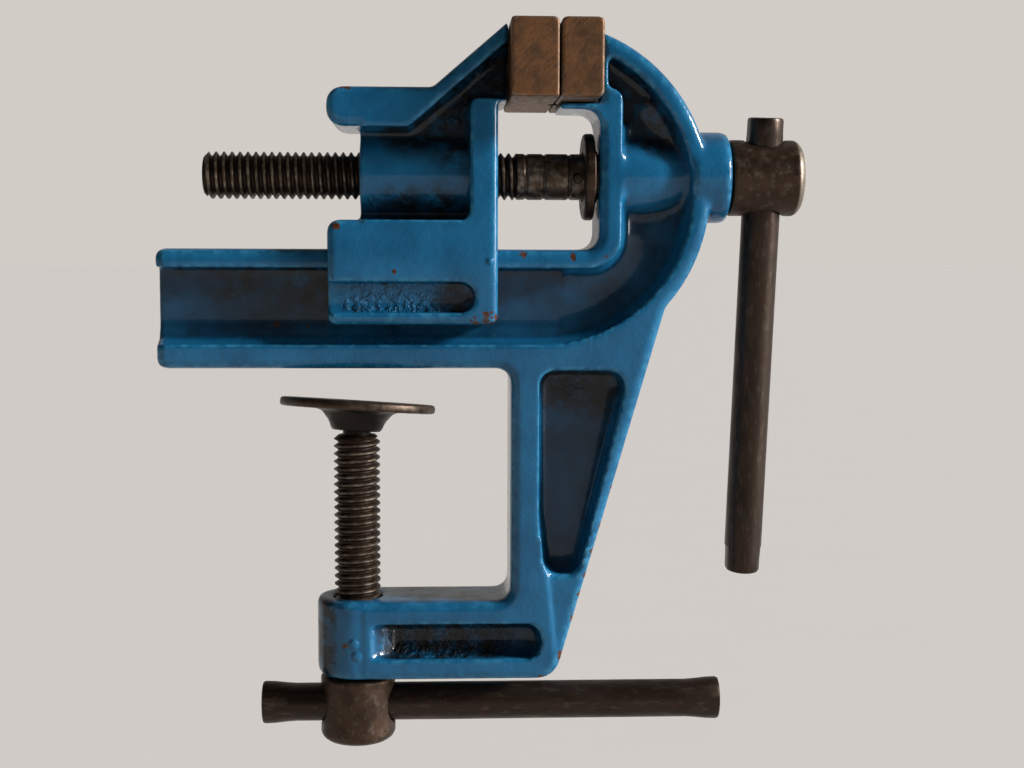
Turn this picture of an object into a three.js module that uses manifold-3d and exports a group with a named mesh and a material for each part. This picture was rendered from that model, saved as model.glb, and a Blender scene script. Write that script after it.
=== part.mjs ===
// A small cast-iron bench vise that clamps to the edge of a table.
//
// Millimetres, +Z up, +X towards the main screw's head. The origin is on the flat underside of
// the beam, in the mid-plane and on the axis of the table clamp screw. The jaws are closed, and
// the table clamp is run up towards the beam.

import * as THREE from 'three';
import { mergeVertices } from 'three/addons/utils/BufferGeometryUtils.js';
import Module from 'manifold-3d';

const wasm = await Module();
wasm.setup();

// ---------------------------------------------------------------- clearances and facets
const GAP = 0.3; // between pieces that touch
const SLIDE_GAP = 0.4; // between the moving jaw and the beam it slides on
const PAST = 4; // how far a cutter reaches beyond the surface that it opens
const ROUND_STEPS = 40; // facets round a large cylinder
const SMALL_STEPS = 24; // facets round a pin or a bar
const CORNER_STEPS = 5; // facets in a rounded corner of an outline
const EDGE_STEPS = 2; // facets across a rounded edge

// ---------------------------------------------------------------- beam
const BEAM_LEFT = -49.3;
const BEAM_HEIGHT = 30;
const FLANGE_HALF = 10.5; // half of the casting's depth
const WEB_HALF = 4;
const TOP_FLANGE = 4.7;
const CAST_EDGE = 2; // rounded edges of the frame casting
const BEAM_CORNER = CAST_EDGE + 0.2; // rounded corners of its outline
const GUIDE_FLOOR = 9.6; // height at which the guide groove for the jaw's lips starts
const GUIDE_FILLET = 0.8;
const GUIDE_SHORT = 14; // where the groove stops, to the left of the upright's right face

// ---------------------------------------------------------------- both screws
const SCREW_RADIUS = 6;
const HEAD_RADIUS = SCREW_RADIUS + 3.7;
const SCREW_DROP = 18.5; // from the top of the beam up to the main screw's axis
const SCREW_Z = BEAM_HEIGHT + SCREW_DROP;
const SCREW_LEFT = -38;
const END_BEVEL = 1; // at the left end of the main screw

// ---------------------------------------------------------------- fixed jaw and its arch
const WINDOW_WALL_X = 61.4; // left face of the inner upright, which also seats the jaw block
const UPRIGHT = 5.8; // thickness of that upright
const WINDOW_CORNER = 3.8;
const ARCH_X = 47;
const ARCH_Z = SCREW_Z - 4.5;
const ARCH_RADIUS = 42.6;
const RIM = 4.8; // thickness of the arch's rim
const RECESS_FILLET = 5;
const RECESS_CORNER = 8; // where the recess in the beam turns up into the arch
const RECESS_END = RECESS_FILLET + 0.5; // radius of the recess's upper end
const RECESS_END_TURN = 12; // degrees of that end left to the rim
const ARC_STEPS = 24;
const END_STEPS = 8;
const UPRIGHT_TOP = SCREW_Z + 21.5;
const CROWN_FILLET = 1.2; // where the recess is narrow, above the upright
const CROWN_LAND = 0.8; // what the crown's corner leaves of its left edge
const CROWN_FIRST = 40; // degrees along the rim at which the crown's recess starts
const CROWN_DROP = 10; // how far the crown's recess overlaps the one below
const CROWN_STEPS = 6;
const UPRIGHT_CORNER = 4.5;
const SEAT_PLATE = 2; // thickness of the plate behind the fixed jaw block
const LEDGE = 1.5; // thickness of the ledge under the fixed jaw block
const LEDGE_EDGE = 0.5;
const LEDGE_SHORT = 0.6; // the ledge ends this far short of the block's gripping face
const LEDGE_ROOT = 2; // how far the ledge runs into the upright
const BULLET_RADIUS = SCREW_RADIUS + 4.5; // the boss round the screw, on the upright
const BULLET = [[0, 3], [0.5, 9], [1.6, 14]]; // how thin it has grown, and how far out
const BULLET_LENGTH = 18;
const BULLET_NECK = 1.5; // wall of the tube that joins the boss to the rim
const BULLET_ROOT = 1; // how far the boss starts inside the upright
const RIM_ROOT = 2; // how far that tube ends inside the rim's outer face

// ---------------------------------------------------------------- leg and clamp arm
const ARM_TOP = -59.7;
const ARM_THICK = 20.5;
const ARM_BOTTOM = ARM_TOP - ARM_THICK;
const LEG_INNER_X = 39.3;
const LEG_FOOT_X = LEG_INNER_X + 11.7; // where the leg's outer edge meets the arm's underside
const LEG_HEAD_X = LEG_INNER_X + 39.8; // where it meets the arch
const LEG_HEAD_Z = ARCH_Z - 29;
const LEG_CORNER = 6;
const THROAT_CORNER = 3.5;
const POCKET_FILLET = 3;
const POCKET_ROUND = 3.8; // corners of the pockets' outlines
const POCKET_TOP = -0.6;
const POCKET_KINK = -36; // height at which the pocket's left edge turns outwards
const POCKET_FOOT = ARM_TOP + 7;
const POCKET_LEFT = LEG_INNER_X + 7.2;
const POCKET_FOOT_LEFT = LEG_INNER_X + 8.9;
const LEG_RIM_HEAD = 5.3; // between the pocket and the leg's outer edge, at the top
const LEG_RIM_FOOT = 2.4; // and at the bottom
const STEP_DEPTH = 0.8; // a shallow step below the pocket leaves the leg's inner edge as a ridge
const STEP_FILLET = 0.6;
const STEP_TOP = ARM_TOP + 9.7;
const STEP_FOOT = ARM_BOTTOM + 2.2;
const STEP_RIDGE = 9.1; // how far the ridge reaches past the leg's inner edge at the top
const STEP_SLANT = 2.9; // and how much further at the foot
const ARM_RECESS_LEFT = 4;
const ARM_RECESS_RIGHT = LEG_INNER_X + 8;
const ARM_RECESS_TOP = ARM_TOP - 5.9;
const ARM_RECESS_FLOOR = ARM_BOTTOM + 5.6;
const BOSS_RADIUS = SCREW_RADIUS + 4.4;
const BOSS_ROUND = 1.8; // rounded lower edge of the clamp screw's boss
const BOSS_BREAK = 0.8; // bevel round its top

// ---------------------------------------------------------------- tommy bars
const BAR_RADIUS = 4.9;
const BAR_HOLE = BAR_RADIUS + 0.5; // radius of the cross hole in a screw head
const BAR_LENGTH = 120;
const SWAGE_LENGTH = 6; // flattened length at each end of a bar
const SWAGE_WIDE = BAR_RADIUS + 0.7;
const SWAGE_THIN = BAR_RADIUS - 0.4;
const SWAGE_ROOT = 0.5; // how far the round shank runs into a flattened end
const MAIN_BAR_RISE = HEAD_RADIUS + 5.7; // from the screw's axis up to the bar's upper end
const MAIN_BAR_LEAN = 1; // degrees that the loose bar leans in its hole
const CLAMP_BAR_LEFT = -24.9;

// ---------------------------------------------------------------- main screw
const COLLAR_OUT = 5.4; // how far the collar stands out of the rim
const COLLAR_RIGHT = ARCH_X + ARCH_RADIUS + COLLAR_OUT;
const COLLAR_ROOT = 4; // how far it starts inside the rim
const COLLAR_RADIUS = SCREW_RADIUS + 5.6;
const COLLAR_ROUND = 1.6;
const HEAD_CHAMFER = 1.5;
const HEAD_BREAK = 0.5; // small bevel on a head's inner end
const MAIN_HEAD_LENGTH = 2 * BAR_HOLE + 7.8;
const MAIN_TURN = 5; // degrees that the main screw is turned from upright at rest
const WASHER_RADIUS = SCREW_RADIUS + 5;
const WASHER_THICK = 2.6;
const WASHER_BEVEL = 0.7;
const WASHER_OFF = 0.9; // from the washer to the upright
const PIN_RADIUS = 1.3;
const PIN_LENGTH = 2 * SCREW_RADIUS + 4;

// ---------------------------------------------------------------- moving jaw
const JAW_LEFT = -6.4;
const JAW_RIGHT = 35.9;
const CHEEK = 3.6; // thickness of the jaw's walls beside the beam
const JAW_HALF = FLANGE_HALF + SLIDE_GAP + CHEEK;
const JAW_EDGE = 1.5;
const SADDLE_TOP = BEAM_HEIGHT + 7.2;
const SADDLE_BOTTOM = GUIDE_FLOOR + 1.7;
const LIP_GAP = 0.6; // under the beam's top flange
const LIP_TOP = BEAM_HEIGHT - TOP_FLANGE - LIP_GAP;
const SADDLE_CORNER = JAW_EDGE + 0.6;
const SADDLE_SHOULDER = JAW_EDGE + 1.4;
const JAW_FLANGE = 7; // thickness of the upright at the right of the moving jaw
const JAW_WEB_HALF = 5.2;
const JAW_FILLET = 1.8;
const HOLLOW_LOW = 2.4; // corners of the hollow beside the upright
const HOLLOW_HIGH = 2;
const HOLLOW_OVER = 0.4; // how far the hollow clears the underside of the jaw block
const BARREL_LEFT = 1.5;
const BARREL_RADIUS = SCREW_RADIUS + 4.5;
const BARREL_ROOT = 2; // how far the barrel ends inside the upright
const SHELF_BOTTOM = SCREW_Z + 11.5; // the shelf is the bar at the top left of the moving jaw
const SHELF_TOP = SHELF_BOTTOM + 9.7;
const SHELF_CORNER = 4;
const RAMP_X = 19.7; // where the shelf turns up into the sloping ramp
const RAMP_THICK = 3.5;
const GROOVE_BOTTOM = SADDLE_BOTTOM + 3;
const GROOVE_TOP = GROOVE_BOTTOM + 7.6;
const GROOVE_RIGHT = 30.2;
const GROOVE_DEPTH = CHEEK - 0.6;
const GROOVE_ROUND = 3.7;
const GROOVE_FILLET = 0.9;

// ---------------------------------------------------------------- jaw blocks
const BLOCK_BOTTOM = SHELF_TOP - 3;
const BLOCK_HEIGHT = 19;
const BLOCK_HALF = 22.5;
const FIXED_BLOCK = 10.4; // thickness of the fixed block
const MOVING_BLOCK = 11.7;
const JAW_OPENING = 0.4; // gap between the closed jaws
const BLOCK_EDGE = 0.6;
const GRIP_CORNER = 1.4; // rounded top corner of each gripping face
const FIXED_BACK_CORNER = 1.5;
const MOVING_BACK_CORNER = 0.8;
const JAW_SCREW_RADIUS = 2;
const JAW_SCREW_HEAD = 3.6;
const JAW_SCREW_RIM = 0.2;
const JAW_SCREW_GRIP = 3.4; // length of thread in the casting
const JAW_SCREW_HEIGHTS = [BLOCK_BOTTOM + 3.9, BLOCK_BOTTOM + 12.5];

// ---------------------------------------------------------------- table clamp
const HEAD_GAP = 0.5; // between the clamp screw's head and the arm
const CLAMP_HEAD_TOP = ARM_BOTTOM - HEAD_GAP;
const CLAMP_HEAD_LENGTH = 2 * BAR_HOLE + 6.4;
const CLAMP_BAR_Z = CLAMP_HEAD_TOP - BAR_HOLE - 2.2;
const PAD_TOP = -9;
const SHOULDER_Z = PAD_TOP - 8.8; // end of the clamp screw's full thickness
const SHOULDER_BEVEL = 0.6;
const NECK_RADIUS = 3.6;
const RIVET_RADIUS = NECK_RADIUS + 2;
const RIVET_TOP = PAD_TOP - 1.1;
const RIVET_THICK = 1.3;
const RIVET_BEVEL = [0.4, 0.3];
const PAD_RADIUS = 20;
const PAD_THICK = 2.4;
const PAD_BEVEL = 0.4;
const PAD_HEIGHT = 7.8; // disc and hub together
const PAD_BORE = NECK_RADIUS + 1.1;
const PAD_RECESS_RADIUS = RIVET_RADIUS + 1.6;
const PAD_RECESS_DEPTH = 3.4;
const PAD_HUB_TOP = 9.7;
const PAD_HUB_FOOT = PAD_BORE + 1.3;
const PAD_PIVOT = 5.6; // depth of the point on which the loose pad rocks
const PAD_ROLL = 3.7; // degrees that the loose pad sags to the right
const PAD_PITCH = -5.5; // degrees that it sags to the back

// ---------------------------------------------------------------- places worked out from these
const windowRight = WINDOW_WALL_X + UPRIGHT;
const fixedBlockRight = WINDOW_WALL_X - GAP;
const fixedBlockLeft = fixedBlockRight - FIXED_BLOCK;
const movingBlockRight = fixedBlockLeft - JAW_OPENING;
const movingBlockLeft = movingBlockRight - MOVING_BLOCK;
const movingSeat = movingBlockLeft - GAP;
const rampSlope = (BLOCK_BOTTOM + BLOCK_HEIGHT - SHELF_TOP) / (movingSeat - RAMP_X);
const washerRight = WINDOW_WALL_X - WASHER_OFF;
const washerLeft = washerRight - WASHER_THICK;
const pinX = washerLeft - GAP - PIN_RADIUS;
const mainHeadLeft = COLLAR_RIGHT + GAP;
const mainBarX = mainHeadLeft + MAIN_HEAD_LENGTH / 2;
const screwHole = SCREW_RADIUS + GAP;

// ---------------------------------------------------------------- materials
const castBlue = () => new THREE.MeshStandardMaterial({ color: 0x2b6087, roughness: 0.35, metalness: 0.1 });
const darkSteel = () => new THREE.MeshStandardMaterial({ color: 0x4a4038, roughness: 0.5, metalness: 0.8 });
const jawSteel = () => new THREE.MeshStandardMaterial({ color: 0x5c4a3a, roughness: 0.55, metalness: 0.7 });

// ---------------------------------------------------------------- solids
function solidOf(geometry) {
  const bare = geometry.clone();
  bare.deleteAttribute('normal');
  bare.deleteAttribute('uv');
  const merged = mergeVertices(bare, 1e-5);
  const mesh = new wasm.Mesh({
    numProp: 3,
    vertProperties: new Float32Array(merged.attributes.position.array),
    triVerts: new Uint32Array(merged.index.array),
  });
  return new wasm.Manifold(mesh);
}

function geometryOf(solid) {
  const mesh = solid.getMesh();
  const geometry = new THREE.BufferGeometry();
  geometry.setAttribute('position', new THREE.BufferAttribute(mesh.vertProperties, 3));
  geometry.setIndex(new THREE.BufferAttribute(mesh.triVerts, 1));
  geometry.computeVertexNormals();
  return geometry;
}

function joined(first, ...rest) {
  return rest.reduce((whole, piece) => whole.add(piece), first);
}

function cut(first, ...cutters) {
  return cutters.reduce((whole, cutter) => whole.subtract(cutter), first);
}

// ---------------------------------------------------------------- outlines in the X-Z plane
// An outline is a list of corners [x, z, radius]; a corner with a radius becomes an arc.
function roundedPoints(corners) {
  const points = [];
  corners.forEach(([x, z, radius = 0], i) => {
    const here = new THREE.Vector2(x, z);
    if (radius === 0) {
      points.push(here);
      return;
    }
    const before = corners[(i + corners.length - 1) % corners.length];
    const after = corners[(i + 1) % corners.length];
    const toBefore = new THREE.Vector2(before[0] - x, before[1] - z).normalize();
    const toAfter = new THREE.Vector2(after[0] - x, after[1] - z).normalize();
    const half = Math.acos(THREE.MathUtils.clamp(toBefore.dot(toAfter), -1, 1)) / 2;
    const middle = toBefore.clone().add(toAfter).normalize();
    const centre = middle.multiplyScalar(radius / Math.sin(half)).add(here);
    const start = toBefore.multiplyScalar(radius / Math.tan(half)).add(here).sub(centre);
    const end = toAfter.multiplyScalar(radius / Math.tan(half)).add(here).sub(centre);
    const turn = Math.atan2(start.cross(end), start.dot(end));
    for (let step = 0; step <= CORNER_STEPS; step += 1) {
      const angle = start.angle() + (turn * step) / CORNER_STEPS;
      points.push(new THREE.Vector2(Math.cos(angle), Math.sin(angle)).multiplyScalar(radius).add(centre));
    }
  });
  return points;
}

// Corners along an arc, in degrees.
function arcCorners(x, z, radius, from, to, steps) {
  return Array.from({ length: steps + 1 }, (_, step) => {
    const angle = THREE.MathUtils.degToRad(from + ((to - from) * step) / steps);
    return [x + radius * Math.cos(angle), z + radius * Math.sin(angle)];
  });
}

// A solid with this outline between two depths, its edges rounded at both ends.
function prism(corners, front, back, edge = 0, edgeAcross = edge) {
  const geometry = new THREE.ExtrudeGeometry(new THREE.Shape(roundedPoints(corners)), {
    depth: back - front - 2 * edge,
    bevelEnabled: edge > 0,
    bevelThickness: edge,
    bevelSize: edgeAcross,
    bevelOffset: -edgeAcross,
    bevelSegments: EDGE_STEPS,
  });
  geometry.translate(0, 0, edge - back);
  geometry.rotateX(Math.PI / 2);
  return solidOf(geometry);
}

// The same cut into both faces of a casting, down to a floor with a fillet round it.
function pockets(corners, face, floor, fillet) {
  const near = prism(corners, -face - PAST - fillet, -floor, fillet);
  const far = prism(corners, floor, face + PAST + fillet, fillet);
  return near.add(far);
}

// ---------------------------------------------------------------- turned solids
// A profile is a list of [radius, height] that starts and ends on the axis.
function turned(profile, steps = ROUND_STEPS) {
  const points = profile.map(([radius, height]) => new THREE.Vector2(radius, height));
  const geometry = new THREE.LatheGeometry(points, steps);
  geometry.rotateX(Math.PI / 2);
  return geometry;
}

function alongZ(profile, steps) {
  return solidOf(turned(profile, steps));
}

function alongX(profile, z, steps) {
  const geometry = turned(profile, steps);
  geometry.rotateY(Math.PI / 2);
  geometry.translate(0, 0, z);
  return solidOf(geometry);
}

function rod(radius, from, to) {
  return [[0, from], [radius, from], [radius, to], [0, to]];
}

function alongY(radius, x, z, half) {
  const geometry = new THREE.CylinderGeometry(radius, radius, 2 * half, SMALL_STEPS);
  geometry.translate(x, 0, z);
  return solidOf(geometry);
}

function box(x0, x1, y0, y1, z0, z1) {
  const geometry = new THREE.BoxGeometry(x1 - x0, y1 - y0, z1 - z0);
  geometry.translate((x0 + x1) / 2, (y0 + y1) / 2, (z0 + z1) / 2);
  return solidOf(geometry);
}

// ---------------------------------------------------------------- frame casting
function frameOutline() {
  const headAngle = THREE.MathUtils.radToDeg(Math.atan2(LEG_HEAD_Z - ARCH_Z, LEG_HEAD_X - ARCH_X));
  const topAngle = THREE.MathUtils.radToDeg(Math.acos((WINDOW_WALL_X - ARCH_X) / ARCH_RADIUS));
  return [
    [BEAM_LEFT, 0, BEAM_CORNER],
    [LEG_INNER_X, 0, THROAT_CORNER],
    [LEG_INNER_X, ARM_TOP, THROAT_CORNER],
    [0, ARM_TOP],
    [0, ARM_BOTTOM],
    [LEG_FOOT_X, ARM_BOTTOM, LEG_CORNER],
    ...arcCorners(ARCH_X, ARCH_Z, ARCH_RADIUS, headAngle, topAngle, ARC_STEPS),
    [WINDOW_WALL_X, BEAM_HEIGHT, WINDOW_CORNER],
    [BEAM_LEFT, BEAM_HEIGHT, BEAM_CORNER],
  ];
}

// The recess in the beam runs into the arch; its upper end is an arc that touches the upright
// and the rim.
function archRecess() {
  const inner = ARCH_RADIUS - RIM;
  const endX = windowRight + RECESS_END;
  const endZ = ARCH_Z + Math.sqrt((inner - RECESS_END) ** 2 - (endX - ARCH_X) ** 2);
  const touch = THREE.MathUtils.radToDeg(Math.atan2(endZ - ARCH_Z, endX - ARCH_X));
  const left = BEAM_LEFT - PAST - RECESS_FILLET;
  return [
    [left, ARCH_Z - inner],
    ...arcCorners(ARCH_X, ARCH_Z, inner, -90, touch, ARC_STEPS),
    ...arcCorners(endX, endZ, RECESS_END, touch + RECESS_END_TURN, 180, END_STEPS),
    [windowRight, BEAM_HEIGHT - TOP_FLANGE, RECESS_CORNER],
    [left, BEAM_HEIGHT - TOP_FLANGE],
  ];
}

// The narrow end of that recess, between the upright's top and the rim.
function crownRecess() {
  const inner = ARCH_RADIUS - RIM;
  const seatBack = WINDOW_WALL_X + SEAT_PLATE;
  const last = THREE.MathUtils.radToDeg(Math.acos((seatBack - ARCH_X) / inner));
  const corner = Math.min(UPRIGHT_CORNER, windowRight - seatBack - CROWN_LAND);
  return [
    [windowRight, UPRIGHT_TOP - CROWN_DROP],
    ...arcCorners(ARCH_X, ARCH_Z, inner, CROWN_FIRST, last, CROWN_STEPS),
    [seatBack, UPRIGHT_TOP],
    [windowRight, UPRIGHT_TOP, corner],
  ];
}

function guideGroove() {
  const left = BEAM_LEFT - PAST;
  const right = windowRight - GUIDE_SHORT;
  return [
    [left, GUIDE_FLOOR],
    [right, GUIDE_FLOOR],
    [right, BEAM_HEIGHT - TOP_FLANGE],
    [left, BEAM_HEIGHT - TOP_FLANGE],
  ];
}

// The leg's outer edge slopes from the arch down to the arm's underside.
function legOuterX(z) {
  return LEG_FOOT_X + ((LEG_HEAD_X - LEG_FOOT_X) * (z - ARM_BOTTOM)) / (LEG_HEAD_Z - ARM_BOTTOM);
}

function legPocket() {
  return [
    [POCKET_LEFT, POCKET_TOP, POCKET_ROUND],
    [POCKET_LEFT, POCKET_KINK],
    [POCKET_FOOT_LEFT, POCKET_FOOT, POCKET_ROUND],
    [legOuterX(POCKET_FOOT) - LEG_RIM_FOOT, POCKET_FOOT, POCKET_ROUND],
    [legOuterX(POCKET_TOP) - LEG_RIM_HEAD, POCKET_TOP, POCKET_ROUND],
  ];
}

function legStep() {
  return [
    [LEG_INNER_X + STEP_RIDGE, STEP_TOP],
    [LEG_INNER_X + STEP_RIDGE + STEP_SLANT, STEP_FOOT],
    [legOuterX(STEP_FOOT) + PAST, STEP_FOOT],
    [legOuterX(STEP_TOP) + PAST, STEP_TOP],
  ];
}

function armPocket() {
  return [
    [ARM_RECESS_LEFT, ARM_RECESS_FLOOR],
    [ARM_RECESS_RIGHT, ARM_RECESS_FLOOR, POCKET_ROUND],
    [ARM_RECESS_RIGHT, ARM_RECESS_TOP, POCKET_ROUND],
    [ARM_RECESS_LEFT, ARM_RECESS_TOP],
  ];
}

function screwBoss() {
  const right = ARCH_X + ARCH_RADIUS;
  return alongX([
    [0, WINDOW_WALL_X + BULLET_ROOT],
    [BULLET_RADIUS, WINDOW_WALL_X + BULLET_ROOT],
    ...BULLET.map(([thinner, out]) => [BULLET_RADIUS - thinner, windowRight + out]),
    [screwHole + BULLET_NECK, windowRight + BULLET_LENGTH],
    [screwHole + BULLET_NECK, right - RIM_ROOT],
    [0, right - RIM_ROOT],
  ], SCREW_Z);
}

function collar() {
  const left = ARCH_X + ARCH_RADIUS - COLLAR_ROOT;
  const bulge = COLLAR_ROUND * (1 - Math.SQRT1_2);
  return alongX([
    [0, left],
    [COLLAR_RADIUS, left],
    [COLLAR_RADIUS, COLLAR_RIGHT - COLLAR_ROUND],
    [COLLAR_RADIUS - bulge, COLLAR_RIGHT - bulge],
    [COLLAR_RADIUS - COLLAR_ROUND, COLLAR_RIGHT],
    [0, COLLAR_RIGHT],
  ], SCREW_Z);
}

function clampBoss() {
  const bulge = BOSS_ROUND * (1 - Math.SQRT1_2);
  return alongZ([
    [0, ARM_BOTTOM],
    [BOSS_RADIUS - BOSS_ROUND, ARM_BOTTOM],
    [BOSS_RADIUS - bulge, ARM_BOTTOM + bulge],
    [BOSS_RADIUS, ARM_BOTTOM + BOSS_ROUND],
    [BOSS_RADIUS, ARM_TOP - BOSS_BREAK],
    [BOSS_RADIUS - BOSS_BREAK, ARM_TOP],
    [0, ARM_TOP],
  ]);
}

function ledge() {
  const top = BLOCK_BOTTOM - GAP;
  const bottom = top - LEDGE;
  const corner = WINDOW_WALL_X - WINDOW_CORNER;
  const hollow = arcCorners(corner, bottom - WINDOW_CORNER, WINDOW_CORNER, 90, 0, CORNER_STEPS);
  const left = fixedBlockLeft + LEDGE_SHORT;
  return prism([
    [left, bottom],
    ...hollow,
    [WINDOW_WALL_X + LEDGE_ROOT, bottom - WINDOW_CORNER],
    [WINDOW_WALL_X + LEDGE_ROOT, top],
    [left, top],
  ], -FLANGE_HALF, FLANGE_HALF, LEDGE_EDGE);
}

function jawScrewHoles(from, to) {
  const holes = JAW_SCREW_HEIGHTS.map((z) => alongX(rod(JAW_SCREW_RADIUS + GAP, from, to), z, SMALL_STEPS));
  return joined(...holes);
}

function frameCasting() {
  const body = prism(frameOutline(), -FLANGE_HALF, FLANGE_HALF, CAST_EDGE);
  const hollowed = cut(
    body,
    pockets(archRecess(), FLANGE_HALF, WEB_HALF, RECESS_FILLET),
    pockets(crownRecess(), FLANGE_HALF, WEB_HALF, CROWN_FILLET),
    pockets(guideGroove(), FLANGE_HALF, WEB_HALF, GUIDE_FILLET),
    pockets(legPocket(), FLANGE_HALF, WEB_HALF, POCKET_FILLET),
    pockets(legStep(), FLANGE_HALF, FLANGE_HALF - STEP_DEPTH, STEP_FILLET),
    pockets(armPocket(), FLANGE_HALF, WEB_HALF, POCKET_FILLET),
  );
  return cut(
    joined(hollowed, screwBoss(), collar(), clampBoss(), ledge()),
    alongX(rod(screwHole, WINDOW_WALL_X - PAST, COLLAR_RIGHT + PAST), SCREW_Z),
    alongZ(rod(screwHole, ARM_BOTTOM - PAST, ARM_TOP + PAST)),
    jawScrewHoles(WINDOW_WALL_X - PAST, WINDOW_WALL_X + JAW_SCREW_GRIP + GAP),
  );
}

// ---------------------------------------------------------------- moving jaw casting
function movingJawOutline() {
  const top = SHELF_TOP + rampSlope * (movingSeat - RAMP_X);
  return [
    [JAW_LEFT, SADDLE_BOTTOM, SADDLE_CORNER],
    [JAW_RIGHT, SADDLE_BOTTOM, SADDLE_CORNER],
    [JAW_RIGHT, BLOCK_BOTTOM - GAP],
    [movingSeat, BLOCK_BOTTOM - GAP],
    [movingSeat, top],
    [RAMP_X, SHELF_TOP],
    [JAW_LEFT, SHELF_TOP, SHELF_CORNER],
    [JAW_LEFT, SHELF_BOTTOM, SHELF_CORNER],
    [BARREL_LEFT, SHELF_BOTTOM],
    [BARREL_LEFT, SADDLE_TOP],
    [JAW_LEFT, SADDLE_TOP, SADDLE_SHOULDER],
  ];
}

// Everything between the shelf, the ramp, the upright and the saddle is hollow down to the web,
// and stays open at the left and behind the jaw block.
function movingJawPocket() {
  const drop = RAMP_THICK * Math.sqrt(1 + rampSlope ** 2);
  const rampEnd = movingSeat + PAST;
  const rampFoot = RAMP_X - (SHELF_TOP - drop - SHELF_BOTTOM) / rampSlope;
  const left = BARREL_LEFT - PAST;
  const uprightLeft = JAW_RIGHT - JAW_FLANGE;
  return [
    [left, SADDLE_TOP],
    [uprightLeft, SADDLE_TOP, HOLLOW_LOW],
    [uprightLeft, BLOCK_BOTTOM + HOLLOW_OVER, HOLLOW_HIGH],
    [rampEnd, BLOCK_BOTTOM + HOLLOW_OVER],
    [rampEnd, SHELF_TOP - drop + rampSlope * (rampEnd - RAMP_X)],
    [rampFoot, SHELF_BOTTOM],
    [left, SHELF_BOTTOM],
  ];
}

function cheekGroove() {
  const left = JAW_LEFT - PAST;
  return [
    [left, GROOVE_BOTTOM],
    [GROOVE_RIGHT, GROOVE_BOTTOM, GROOVE_ROUND],
    [GROOVE_RIGHT, GROOVE_TOP, GROOVE_ROUND],
    [left, GROOVE_TOP],
  ];
}

function beamSlot() {
  const left = JAW_LEFT - PAST;
  const right = JAW_RIGHT + PAST;
  const flange = FLANGE_HALF + SLIDE_GAP;
  const web = WEB_HALF + SLIDE_GAP;
  const head = box(left, right, -flange, flange, LIP_TOP, BEAM_HEIGHT + SLIDE_GAP);
  const neck = box(left, right, -web, web, SADDLE_BOTTOM - PAST, LIP_TOP + PAST);
  return head.add(neck);
}

function movingJawCasting() {
  const body = cut(
    prism(movingJawOutline(), -JAW_HALF, JAW_HALF, JAW_EDGE),
    pockets(movingJawPocket(), JAW_HALF, JAW_WEB_HALF, JAW_FILLET),
    pockets(cheekGroove(), JAW_HALF, JAW_HALF - GROOVE_DEPTH, GROOVE_FILLET),
  );
  const barrel = alongX(rod(BARREL_RADIUS, BARREL_LEFT, JAW_RIGHT - BARREL_ROOT), SCREW_Z);
  return cut(
    body.add(barrel),
    beamSlot(),
    alongX(rod(screwHole, BARREL_LEFT - PAST, JAW_RIGHT + PAST), SCREW_Z),
    jawScrewHoles(movingSeat - JAW_SCREW_GRIP - GAP, movingSeat + PAST),
  );
}

// ---------------------------------------------------------------- jaw blocks and their screws
function countersinks(face, away) {
  const sinks = JAW_SCREW_HEIGHTS.map((z) => alongX([
    [0, face - PAST],
    [JAW_SCREW_HEAD + 2 * GAP, face - PAST],
    [JAW_SCREW_HEAD + 2 * GAP, face + GAP],
    [JAW_SCREW_RADIUS + GAP, face + JAW_SCREW_HEAD],
    [JAW_SCREW_RADIUS + GAP, away],
    [0, away],
  ], z, SMALL_STEPS));
  return joined(...sinks);
}

// Both blocks are made facing left, and the moving one is turned round.
function jawBlock(thick, gripCorner, backCorner) {
  const top = BLOCK_BOTTOM + BLOCK_HEIGHT;
  const block = prism([
    [0, BLOCK_BOTTOM],
    [thick, BLOCK_BOTTOM, backCorner],
    [thick, top, backCorner],
    [0, top, gripCorner],
  ], -BLOCK_HALF, BLOCK_HALF, BLOCK_EDGE);
  return block.subtract(countersinks(0, thick + PAST));
}

function jawScrew(thick) {
  const end = thick + JAW_SCREW_GRIP;
  return alongX([
    [0, 2 * GAP],
    [JAW_SCREW_HEAD, 2 * GAP],
    [JAW_SCREW_HEAD - JAW_SCREW_RIM, 3 * GAP],
    [JAW_SCREW_RADIUS, JAW_SCREW_HEAD - JAW_SCREW_RADIUS + 3 * GAP],
    [JAW_SCREW_RADIUS, end],
    [0, end],
  ], 0, SMALL_STEPS);
}

// ---------------------------------------------------------------- screws, washer and pin
function mainScrew() {
  const end = mainHeadLeft + MAIN_HEAD_LENGTH;
  const body = alongX([
    [0, SCREW_LEFT],
    [SCREW_RADIUS - END_BEVEL, SCREW_LEFT],
    [SCREW_RADIUS, SCREW_LEFT + END_BEVEL],
    [SCREW_RADIUS, mainHeadLeft],
    [HEAD_RADIUS - HEAD_BREAK, mainHeadLeft],
    [HEAD_RADIUS, mainHeadLeft + HEAD_BREAK],
    [HEAD_RADIUS, end - HEAD_CHAMFER],
    [HEAD_RADIUS - HEAD_CHAMFER, end],
    [0, end],
  ], 0);
  const barHole = alongZ(rod(BAR_HOLE, -HEAD_RADIUS - PAST, HEAD_RADIUS + PAST), SMALL_STEPS);
  return cut(
    body,
    barHole.translate([mainBarX, 0, 0]),
    alongY(PIN_RADIUS + GAP, pinX, 0, SCREW_RADIUS + PAST),
  );
}

function retainingWasher() {
  const ring = alongX([
    [0, washerLeft],
    [WASHER_RADIUS - WASHER_BEVEL, washerLeft],
    [WASHER_RADIUS, washerLeft + WASHER_BEVEL],
    [WASHER_RADIUS, washerRight],
    [0, washerRight],
  ], 0);
  return ring.subtract(alongX(rod(screwHole, washerLeft - PAST, washerRight + PAST), 0));
}

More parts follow.
